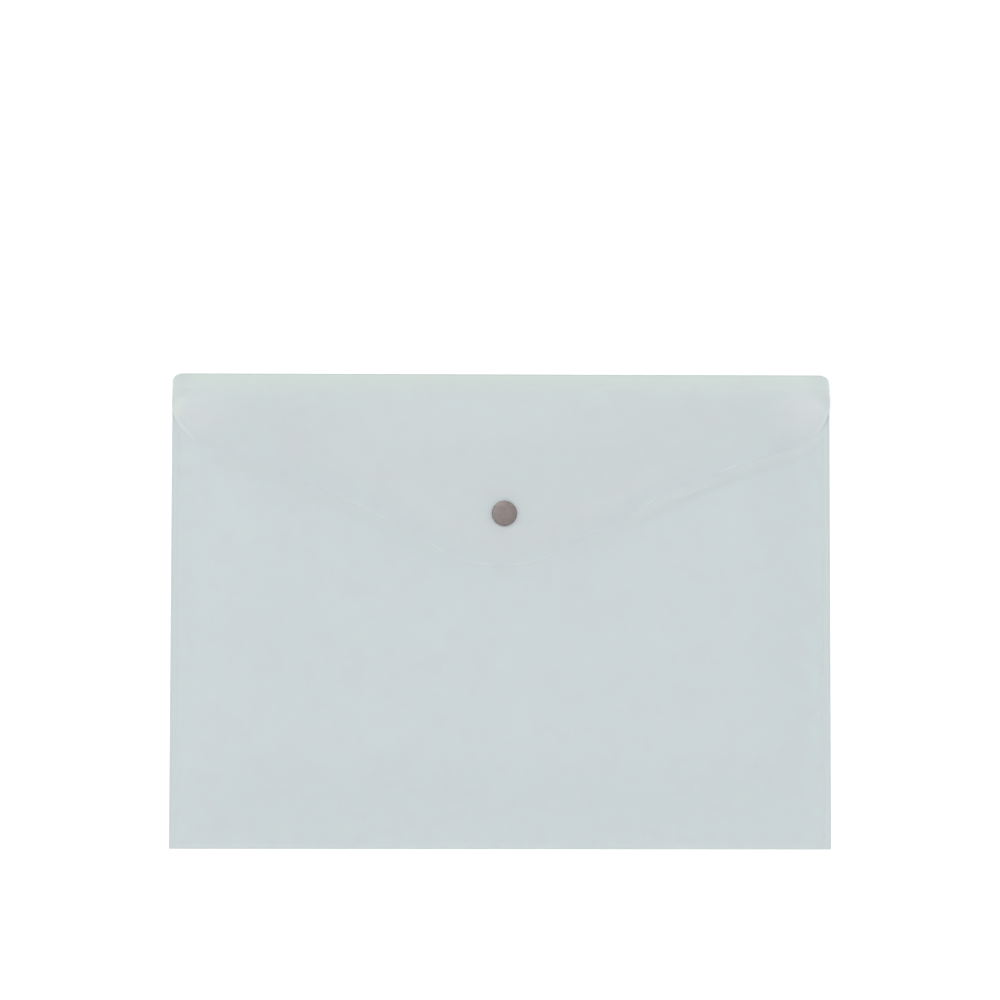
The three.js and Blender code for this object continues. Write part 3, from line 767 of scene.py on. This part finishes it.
def flap_height(x, y):
    """The middle of the flap: level with its crease, plus an arch that lifts it over the snap, less a
    droop towards its sides. Towards the cut edge it sinks on to the front or the weld, and that edge
    ripples a little on the right. Long low waves fade out round the snap and at the crease."""
    from_crease = UPPER_CREASE[0] - y
    from_edge = y - flap_edge(np.abs(x))
    flat = ARCH_FLAT_WIDTH / 2
    across = 1 - smooth((np.abs(x - SNAP_X) - flat) / (ARCH_WIDTH / 2 - flat))
    arch = across * smooth(from_crease / ARCH_TOP_RUN)
    side_start = POCKET_HALF_WIDTH - SIDE_ROLL
    droop = smooth((np.abs(x) - side_start) / (FLAP_HALF_WIDTH - side_start))
    droop = droop * smooth(from_crease / FLAP_DROOP_RUN)
    waves = 0.12 * np.sin(x / 26 + 1.9) * np.sin(y / 19 + 0.4) + 0.06 * np.sin(x / 13 + y / 17)
    free = 1 - np.exp(-(np.hypot(x - SNAP_X, y - SNAP_Y) / 20) ** 4)
    height = FLAP_MIDDLE + ARCH_RISE * arch + waves * free * arch - FLAP_SIDE_DROOP * droop

    from_middle = smooth((np.abs(x - SNAP_X) - 8) / 40)
    side_sink = np.where(x < SNAP_X, SINK_START_LEFT, SINK_START_RIGHT)
    side_level = np.where(x < SNAP_X, SINK_END_LEFT, SINK_END_RIGHT)
    sink_start = SINK_START + (side_sink - SINK_START) * from_middle
    sink_end = SINK_END + (side_level - SINK_END) * from_middle
    free_of_edge = smooth((from_edge - sink_end) / (sink_start - sink_end))
    sink = 1 - free_of_edge * smooth((FLAP_HALF_WIDTH - np.abs(x)) / SIDE_SINK)
    sink = sink * smooth(from_crease / FLAP_DROOP_RUN)
    below = front_height(np.clip(x, -POCKET_HALF_WIDTH, POCKET_HALF_WIDTH), np.minimum(y, MOUTH_Y))
    on_bead = smooth((np.abs(x) - POCKET_HALF_WIDTH + 0.5) / 2.5)
    weld_top = WELD_BAND_HEIGHT + (BEAD_TOP - WELD_BAND_HEIGHT) * on_bead
    rest = np.maximum(below + SHEET_THICKNESS, weld_top + SHEET_THICKNESS / 2) + EDGE_CLEARANCE
    ripple = (np.sin(x / 1.7) + np.sin(x / 2.9 + 1) + 2) / 4 * smooth((x + 20) / 80)
    rest = rest + EDGE_RIPPLE * ripple * (1 - smooth(from_edge / 4))
    return height + (rest - height) * sink


# Flap: the bend of the upper crease, then the flap down to its lower edge. Rows run from the edge up.
corner_angle = np.linspace(math.pi / 2 - FLAP_SIDE_ANGLE, 0, 22)
corner_columns = FLAP_HALF_WIDTH - FLAP_CORNER_RADIUS * (1 - np.cos(corner_angle))
half_flap = np.concatenate([np.linspace(0, corner_columns[0], 62)[1:-1], corner_columns])
flap_columns = np.concatenate([-half_flap[::-1], [0], half_flap])[:, None]
flap_share = np.concatenate(
    [[0, 0.0015, 0.006, 0.015, 0.03, 0.05, 0.075], np.linspace(0.1, 0.97, 46), [0.985, 0.995, 1]]
)
crease_y = UPPER_CREASE[0] - 0.06
flap_y = flap_edge(np.abs(flap_columns)) * (1 - flap_share) + crease_y * flap_share
below_crease = crease_y - flap_y
flare = 1 - smooth(below_crease / FLAP_FLARE_LENGTH)
flap_width = FLAP_HALF_WIDTH + (SPINE_HALF_WIDTH - FLAP_HALF_WIDTH) * flare
flap_x = flap_columns * flap_width / FLAP_HALF_WIDTH
flap_z = flap_height(flap_columns, flap_y)
upper_angle = math.pi / 2 - SPINE_TILT * np.linspace(0, 1, 5)
upper_yz = UPPER_CREASE + CREASE_RADIUS * np.stack([np.cos(upper_angle), np.sin(upper_angle)], axis=1)
end_yz = UPPER_CREASE - spine_up * (CREASE_LINE - 0.03) + spine_out * CREASE_RADIUS
upper_yz = np.concatenate([upper_yz, [end_yz]])
upper_x = np.repeat(flap_columns * SPINE_HALF_WIDTH / FLAP_HALF_WIDTH, len(upper_yz), axis=1)
flap_grid = np.concatenate(
    [lay(flap_x, flap_y, flap_z), lay(upper_x, upper_yz[:, 0], upper_yz[:, 1])], axis=1
)
slope = np.gradient(flap_edge(np.abs(half_flap)), half_flap)
lean = np.concatenate([slope[::-1], [0], slope])[:, None]
side_distance = flap_width - np.abs(flap_x)
flap_edge_distance = np.minimum((flap_y - flap_y[:, :1]) / np.sqrt(1 + lean**2), side_distance)
upper_edge_distance = SPINE_HALF_WIDTH - np.abs(upper_x)
# The cutting rule pressed the sheet thinner along the cut.
flap_thinning = CUT_THINNING * (1 - smooth(flap_edge_distance / CUT_RUN))
flap_thinning = flap_thinning * smooth(below_crease / 3)
# Painted light: the flap is whitened a little to lift its shade, fading out towards the edge. A painted
# highlight runs just inside the edge of the round corners, the left one more.
corner_highlight_line = np.exp(-(((flap_edge_distance - 1.1) / 0.7) ** 2))
corner_highlight_reach = smooth((np.abs(flap_x) - 152) / 7) * smooth((below_crease - 6) / 16)
flap_painted_light = corner_highlight_line * corner_highlight_reach * np.where(flap_x < 0, 0.85, 0.6)
flap_painted_light = flap_painted_light + FLAP_PAINTED_LIGHT * smooth(flap_edge_distance / PAINTED_LIGHT_RUN)
# The painted shade at the ends of the spine runs on down the sides of the flap, in a strip that narrows.
strip_length = np.where(flap_x < 0, 8, 12)
strip_share = 1 - smooth(below_crease / strip_length)
strip_width = PAINTED_SHADE_RUN_LOW + (PAINTED_SHADE_RUN - PAINTED_SHADE_RUN_LOW) * strip_share
flap_side_shade = (1 - smooth(side_distance / strip_width)) * (1 - smooth((below_crease - 9) / 6))
# Painted highlight: a strip down the left side, next to the crease, is painted lighter and greener.
# Painted light lifts the shade inside both corners.
left_side_highlight = (1 - smooth((side_distance - 4) / 2)) * (1 - smooth((below_crease - 12) / 5))
left_side_highlight = left_side_highlight * (flap_x < 0)
corner = smooth(side_distance / 6) * (1 - smooth((side_distance - 9) / 24))
corner = corner * smooth(below_crease / 8) * smooth(flap_edge_distance / 6)
flap_painted_light = flap_painted_light + CORNER_PAINTED_LIGHT * corner
# Painted light: where the flap bends down to the front it is whitened to lift the shade of that slope,
# the more the steeper it is, and a little more on the right.
steepness = np.abs(np.gradient(flap_z, axis=1) / np.gradient(flap_y, axis=1))
bend_band = smooth(flap_edge_distance / 5) * (1 - smooth((flap_edge_distance - 22) / 8))
bent = np.minimum(steepness / BEND_STEEPNESS, 1) * (0.9 + 0.35 * smooth(flap_x / 60))
flap_painted_light = flap_painted_light + BEND_PAINTED_LIGHT * bend_band * bent
mean_tilt = SPINE_TILT / 2
upper_mid = UPPER_CREASE + CREASE_RADIUS * np.array([math.sin(mean_tilt), math.cos(mean_tilt)])
upper_mid = np.array([0, *upper_mid])
upper_direction = np.array([0, -math.cos(mean_tilt), math.sin(mean_tilt)])
# Two places across the bend of the upper crease, given as the piece's bend.
upper_bend = [(upper_mid + reach * upper_direction) * MM for reach in (-0.09, 0.09)]
sheet_piece(
    "flap_sheet",
    flap_grid,
    {
        "cut_edge": np.concatenate([flap_edge_distance, upper_edge_distance], axis=1),
        "fold_line": np.concatenate([below_crease, np.zeros_like(upper_x)], axis=1),
        # painted light over the flap, and evenly over the bend at the upper crease
        "wear_and_painted_light": np.concatenate([flap_painted_light, np.full_like(upper_x, FLAP_PAINTED_LIGHT)], axis=1),
        # painted light: lighter and greener next to the upper crease, as on the spine, and in the painted
        # highlight down the left side
        "painted_light": np.maximum(
            0.4 * (1 - smooth((UPPER_CREASE[0] - flap_grid[:, :, 1]) / 5)),
            np.concatenate([left_side_highlight, np.zeros_like(upper_x)], axis=1),
        ),
        # painted shade down the flap's sides and at the ends of the upper bend
        "thick": np.concatenate([flap_side_shade, 1 - smooth(upper_edge_distance / PAINTED_SHADE_RUN)], axis=1),
    },
    ["flap"],
    ["spine", "cover"],
    upper_bend,
    thinning=np.concatenate([flap_thinning, np.zeros_like(upper_x)], axis=1),
)


def filleted(corners):
    """A line through corners, each given as across, up and the radius that rounds it. A corner with a
    radius becomes an arc that touches both of its sides, and one without stays sharp."""
    points = []
    for i, (across, up, radius) in enumerate(corners):
        here = np.array([across, up], float)
        if not radius:
            points.append(here)
            continue
        before = np.array(corners[i - 1][:2], float) - here
        after = np.array(corners[(i + 1) % len(corners)][:2], float) - here
        before /= np.linalg.norm(before)
        after /= np.linalg.norm(after)
        half = math.acos(float(np.clip(before @ after, -1, 1))) / 2
        centre = here + (before + after) / np.linalg.norm(before + after) * radius / math.sin(half)
        first = here + before * radius / math.tan(half) - centre
        last = here + after * radius / math.tan(half) - centre
        turn = math.pi - 2 * half
        share = np.linspace(0, 1, ARC_STEPS + 1)[:, None]
        arc = (np.sin((1 - share) * turn) * first + np.sin(share * turn) * last) / math.sin(turn)
        points.extend(centre + arc)
    return np.array(points)


def turned_piece(name, corners, height, nodes, bodies):
    """A nickelled piece: a section of radius and height turned about the snap's axis. It runs
    anticlockwise, and either starts and ends on the axis, where the surface closes in a fan, or is a
    ring's closed section."""
    section = filleted(corners)
    on_axis = section[0, 0] == 0
    ring = section[1:-1] if on_axis else section
    angle = np.linspace(0, 2 * math.pi, TURNED_STEPS, endpoint=False)
    points = np.stack(
        [
            SNAP_X + np.outer(np.cos(angle), ring[:, 0]),
            SNAP_Y + np.outer(np.sin(angle), ring[:, 0]),
            height + np.broadcast_to(ring[:, 1], (TURNED_STEPS, len(ring))),
        ],
        axis=2,
    ).reshape(-1, 3)
    number = np.arange(TURNED_STEPS * len(ring)).reshape(TURNED_STEPS, len(ring))
    turn = np.roll(number, -1, axis=0)
    if on_axis:
        quads = np.stack([number[:, :-1], turn[:, :-1], turn[:, 1:], number[:, 1:]], axis=2)
        poles = len(points) + np.arange(2)
        ends = [[SNAP_X, SNAP_Y, height + section[0, 1]], [SNAP_X, SNAP_Y, height + section[-1, 1]]]
        points = np.concatenate([points, ends])
        first = np.stack([np.full(TURNED_STEPS, poles[0]), turn[:, 0], number[:, 0]], axis=1)
        last = np.stack([np.full(TURNED_STEPS, poles[1]), number[:, -1], turn[:, -1]], axis=1)
        faces = quads.reshape(-1, 4).tolist() + first.tolist() + last.tolist()
    else:
        along, turn_along = np.roll(number, -1, axis=1), np.roll(turn, -1, axis=1)
        faces = np.stack([number, turn, turn_along, along], axis=2).reshape(-1, 4).tolist()
    return make_piece(name, points, faces, nickel_finish, "snap_metal", nodes, bodies)


# Cap shell: a shallow dish, face up, with a soft crown, curled under at its rim
cap_top = SEAT_GAP + CAP_HEIGHT
lip_top = SEAT_GAP + METAL_THICKNESS
lip_radius = CAP_RADIUS - CAP_LIP_WIDTH
shoulder_height = cap_top - METAL_THICKNESS - CAP_INNER_SHOULDER_DROP
turned_piece(
    "cap_shell",
    [
        (0, cap_top - METAL_THICKNESS, 0),
        (CAP_RADIUS - CAP_INNER_SHOULDER_WIDTH, shoulder_height, CAP_SHOULDER_RADIUS),
        (CAP_RADIUS - METAL_THICKNESS, lip_top, 0),
        (lip_radius, lip_top, 0),
        (lip_radius, SEAT_GAP, 0),
        (CAP_RADIUS, SEAT_GAP, CAP_CURL_RADIUS),
        (CAP_RADIUS, cap_top - CAP_SHOULDER_DROP, CAP_SHOULDER_RADIUS),
        (CAP_CROWN_HALF_WIDTH, cap_top - CAP_CROWN_DROP, CAP_CROWN_RADIUS),
        (0, cap_top, 0),
    ],
    FLAP_TOP_AT_SNAP,
    ["snap_cap_shell"],
    ["cover"],
)
# Cap post: the disc in the cap, with a tube through the flap that is rolled over in the socket. Its bore
# ends just under the sheet, which runs on inside it, because the flap's piece has no hole.
bore_radius = POST_RADIUS - METAL_THICKNESS
roll_radius = POST_RADIUS + POST_ROLL_WIDTH
roll_top = -(SHEET_THICKNESS + SEAT_GAP + METAL_THICKNESS + SEAT_GAP)
roll_bottom = roll_top - METAL_THICKNESS
disc_radius = CAP_RADIUS - METAL_THICKNESS - SEAT_GAP
disc_bottom = lip_top + SEAT_GAP
disc_top = disc_bottom + METAL_THICKNESS
turned_piece(
    "cap_post",
    [
        (0, POST_BORE_END, 0),
        (bore_radius, POST_BORE_END, 0.1),
        (bore_radius, roll_bottom, 0),
        (roll_radius, roll_bottom, 0.14),
        (roll_radius, roll_top, 0.14),
        (POST_RADIUS, roll_top, 0.05),
        (POST_RADIUS, disc_bottom, 0.1),
        (disc_radius, disc_bottom, 0.1),
        (disc_radius, disc_top, 0.1),
        (0, disc_top, 0),
    ],
    FLAP_TOP_AT_SNAP,
    ["snap_cap_post"],
    ["cover"],
)
# Socket: a dish under the flap, with a hole for the post and a wide mouth with a turned edge
hole_radius = POST_RADIUS + SEAT_GAP
inner_radius = SOCKET_RADIUS - METAL_THICKNESS
socket_top = -SEAT_GAP
socket_bottom = socket_top - SOCKET_HEIGHT
turned_piece(
    "snap_socket_dish",
    [
        (hole_radius, socket_top, 0.06),
        (hole_radius, socket_top - METAL_THICKNESS, 0.06),
        (inner_radius, socket_top - METAL_THICKNESS, 0.3),
        (inner_radius, socket_bottom + METAL_THICKNESS, 0.3),
        (SOCKET_MOUTH_RADIUS, socket_bottom + METAL_THICKNESS, 0.12),
        (SOCKET_MOUTH_RADIUS, socket_bottom, 0.12),
        (SOCKET_RADIUS, socket_bottom, SOCKET_EDGE_RADIUS),
        (SOCKET_RADIUS, socket_top, SOCKET_EDGE_RADIUS),
    ],
    FLAP_UNDER_AT_SNAP,
    ["snap_socket"],
    ["cover"],
)
# Stud: a disc on the front, with a hollow nib that is narrower at its neck
stud_top = SEAT_GAP + STUD_HEIGHT
nib_bottom = stud_top - NIB_HEIGHT
neck_top = nib_bottom - NIB_SLOPE
neck_bore = NECK_RADIUS - METAL_THICKNESS
nib_bore = NIB_RADIUS - METAL_THICKNESS
turned_piece(
    "snap_stud_nib",
    [
        (0, stud_top - METAL_THICKNESS, 0),
        (nib_bore, stud_top - METAL_THICKNESS, 0.15),
        (nib_bore, nib_bottom - NIB_INNER_DROP, 0.1),
        (neck_bore, neck_top - NIB_INNER_DROP, 0.1),
        (neck_bore, SEAT_GAP, 0),
        (STUD_RADIUS, SEAT_GAP, 0.17),
        (STUD_RADIUS, STUD_BASE_TOP, 0.17),
        (NECK_RADIUS, STUD_BASE_TOP, METAL_THICKNESS),
        (NECK_RADIUS, neck_top, 0.12),
        (NIB_RADIUS, nib_bottom, 0.1),
        (NIB_RADIUS, stud_top, NIB_EDGE_RADIUS),
        (0, stud_top, 0),
    ],
    FRONT_TOP,
    ["snap_stud"],
    ["pocket"],
)
# Eyelet: a disc with a turned rim inside the pocket, and a tube flared inside the nib
tube_radius = neck_bore - EYELET_TUBE_GAP
tube_bore = tube_radius - METAL_THICKNESS
tube_top = SHEET_THICKNESS + stud_top - METAL_THICKNESS - SEAT_GAP
eyelet_bottom = -SEAT_GAP - METAL_THICKNESS
rim_inside = EYELET_RADIUS - EYELET_RIM_DEPTH
rim_bottom = -SEAT_GAP - EYELET_RIM_DEPTH
turned_piece(
    "snap_eyelet_rivet",
    [
        (tube_bore, tube_top - EYELET_FLARE, 0),
        (tube_bore, eyelet_bottom, 0.12),
        (rim_inside, eyelet_bottom, 0),
        (rim_inside, rim_bottom, 0.1),
        (EYELET_RADIUS, rim_bottom, 0.27),
        (EYELET_RADIUS, -SEAT_GAP, 0.27),
        (tube_radius, -SEAT_GAP, 0.1),
        (tube_radius, tube_top - EYELET_FLARE, 0),
        (tube_radius + EYELET_FLARE, tube_top, 0),
        (tube_bore + EYELET_FLARE, tube_top, 0),
    ],
    FRONT_TOP - SHEET_THICKNESS,
    ["snap_eyelet"],
    ["pocket"],
)


def tube(path, radius, sides):
    """Points and faces of a round bar along a path that lies level: a circle at each point of the path,
    square to its direction, with a flat face at each end."""
    way = np.gradient(path, axis=0)
    way /= np.linalg.norm(way, axis=1, keepdims=True)
    side = np.stack([way[:, 1], -way[:, 0], np.zeros(len(way))], axis=1)
    angle = np.linspace(0, 2 * math.pi, sides, endpoint=False)[None, :, None]
    ring = side[:, None] * np.cos(angle) + np.array([0, 0, 1]) * np.sin(angle)
    points = (path[:, None] + radius * ring).reshape(-1, 3)
    number = np.arange(len(path) * sides).reshape(len(path), sides)
    after = np.roll(number, -1, axis=1)
    quads = np.stack([number[:-1], after[:-1], after[1:], number[1:]], axis=2).reshape(-1, 4)
    return points, quads.tolist() + [number[0, ::-1].tolist(), number[-1].tolist()]


# Spring wires: just above the turned edge of the socket, one to either side of the stud's neck. Their
# ends bend outwards.
wire_z = FLAP_UNDER_AT_SNAP + socket_bottom + METAL_THICKNESS + SEAT_GAP + WIRE_RADIUS
wire_bend = np.linspace(WIRE_BEND_ANGLE, 0, 13)
bent_x = NECK_RADIUS + WIRE_TO_NECK_GAP + WIRE_RADIUS + WIRE_BEND_RADIUS * (1 - np.cos(wire_bend))
bent_y = WIRE_LEG_HALF + WIRE_BEND_RADIUS * np.sin(wire_bend)
wire_x = np.concatenate([bent_x, bent_x[::-1]])
wire_y = np.concatenate([bent_y, -bent_y[::-1]])
level = np.full(len(wire_x), wire_z)
for side, word in ((-1, "left"), (1, "right")):
    wire = np.stack([SNAP_X + side * wire_x, SNAP_Y + wire_y, level], axis=1)
    wire_points, wire_faces = tube(wire, WIRE_RADIUS, sides=16)
    make_piece(
        f"spring_wire_{word}",
        wire_points,
        wire_faces,
        bronze_finish,
        "spring_wire",
        [f"socket_spring_{word}"],
        ["cover"],
    )

# Side welds: a thin band where front and back are melted together, with a round bead along the
# outside. The bead swells and shrinks a little along its length, as melted plastic does.
weld_section = filleted(
    [
        (0, 0, 0),
        (WELD_WIDTH, 0, WELD_BEAD_RADIUS - 0.01),
        (WELD_WIDTH, 2 * WELD_BEAD_RADIUS, WELD_BEAD_RADIUS - 0.01),
        (WELD_WIDTH - WELD_BEAD_WIDTH, 2 * WELD_BEAD_RADIUS, 0.2),
        (WELD_WIDTH - WELD_BEAD_FOOT, WELD_BAND_HEIGHT, 0.2),
        (0, WELD_BAND_HEIGHT, 0),
    ]
)
weld_y = np.concatenate(
    [
        [BOTTOM_Y, BOTTOM_Y + 0.15],
        np.linspace(BOTTOM_Y + 0.6, MOUTH_Y - 0.6, 170),
        [MOUTH_Y - 0.15, MOUTH_Y],
    ]
)
swell = 0.05 * np.sin(weld_y / 2.3) * np.sin(weld_y / 7.1 + 1) + 0.02 * np.sin(weld_y / 1.1)
end_taper = 1 - 0.12 * (1 - smooth(np.minimum(weld_y - BOTTOM_Y, MOUTH_Y - weld_y) / 0.5))
in_bead = smooth((weld_section[:, 0] - WELD_WIDTH + 1.1) / 0.5)[:, None]
weld_out = weld_section[:, :1] - in_bead * (0.03 + 0.6 * np.abs(swell))
weld_up = weld_section[:, 1:] * (1 + in_bead * (swell - 0.07)) * end_taper
for side, word in ((-1, "left"), (1, "right")):
    weld_points = lay(side * (POCKET_HALF_WIDTH + weld_out), weld_y, weld_up)
    ring_count, length_count = weld_out.shape
    number = np.arange(ring_count * length_count).reshape(ring_count, length_count)
    after = np.roll(number, -1, axis=0)
    quads = np.stack([number[:, :-1], number[:, 1:], after[:, 1:], after[:, :-1]], axis=2)
    weld_faces = quads.reshape(-1, 4).tolist() + [number[:, 0].tolist(), number[::-1, -1].tolist()]
    if side > 0:
        weld_faces = [face[::-1] for face in weld_faces]
    out = weld_out.ravel()
    make_piece(
        f"side_weld_bead_{word}",
        weld_points.reshape(-1, 3),
        weld_faces,
        weld_finish,
        "weld",
        [f"{word}_side_weld"],
        ["pocket"],
        cut_edge=np.full(out.shape, FAR),
        fold_line=out,
        # painted shade on the bead's outer side
        thick=smooth((out - WELD_WIDTH + 1.3) / 0.6),
    )


# Studio: a pale floor, an even pale surround and one broad lamp from the upper left
def seen_directly(tree):
    """1 for a ray that shows the background to the camera, in a reflection or through clear plastic."""
    rays = add(tree, "ShaderNodeLightPath").outputs
    shown = rays["Is Camera Ray"]
    for other in ("Is Glossy Ray", "Is Transmission Ray"):
        shown = add(tree, "ShaderNodeMath", {0: shown, 1: rays[other]}, operation="MAXIMUM").outputs[0]
    return shown


world = bpy.data.worlds.new("pale_studio")
bpy.context.scene.world = world
world.use_nodes = True
world.node_tree.nodes.clear()
lighting = add(world.node_tree, "ShaderNodeBackground", {0: linear("#fdfdff"), 1: 0.908})
backdrop = add(world.node_tree, "ShaderNodeBackground", {0: linear("#ffffff"), 1: 1.0})
either = add(
    world.node_tree,
    "ShaderNodeMixShader",
    {0: seen_directly(world.node_tree), 1: lighting.outputs[0], 2: backdrop.outputs[0]},
)
add(world.node_tree, "ShaderNodeOutputWorld", {"Surface": either.outputs[0]})

lamp_data = bpy.data.lights.new("broad_lamp", "SUN")
lamp_data.energy = 0.74
lamp_data.angle = math.radians(40)
lamp = bpy.data.objects.new("broad_lamp", lamp_data)
bpy.context.scene.collection.objects.link(lamp)
lamp.rotation_euler = (math.radians(-25), math.radians(-19), 0)

floor_finish, floor_tree, floor_output = new_material("white_studio_floor")
painted = add(floor_tree, "ShaderNodeBsdfDiffuse", {0: linear("#f2f2f2")})
lift = add(floor_tree, "ShaderNodeMath", {0: seen_directly(floor_tree), 1: 0.22}, operation="MULTIPLY")
glow = add(floor_tree, "ShaderNodeEmission", {0: linear("#ffffff"), 1: lift.outputs[0]})
lit = add(floor_tree, "ShaderNodeAddShader", {0: painted.outputs[0], 1: glow.outputs[0]})
floor_tree.links.new(lit.outputs[0], floor_output.inputs["Surface"])
floor_half = 4.0  # in metres, as the rest of the studio is
floor_z = -0.0001  # just clear of the sheet that lies on it
floor_mesh = bpy.data.meshes.new("studio_floor")
floor_corners = [(-1, -1), (1, -1), (1, 1), (-1, 1)]
floor_points = [(floor_half * x, floor_half * y, floor_z) for x, y in floor_corners]
floor_mesh.from_pydata(floor_points, [], [(0, 1, 2, 3)])
floor_mesh.materials.append(floor_finish)
floor = bpy.data.objects.new("studio_floor", floor_mesh)
bpy.context.scene.collection.objects.link(floor)

# Camera: nearly straight down, 1.5 m above the table, tipped so that the bottom edge is a little nearer
camera_data = bpy.data.cameras.new("camera")
camera_data.sensor_width = 36
camera_data.lens = 107.86
camera = bpy.data.objects.new("camera", camera_data)
bpy.context.scene.collection.objects.link(camera)
camera.location = (-0.02194, -0.0235, 1.5)
camera.rotation_mode = "ZXY"
camera.rotation_euler = (math.radians(3.0201), math.radians(-0.8165), math.radians(0.1136))
bpy.context.scene.camera = camera
bpy.context.scene.view_settings.view_transform = "Standard"
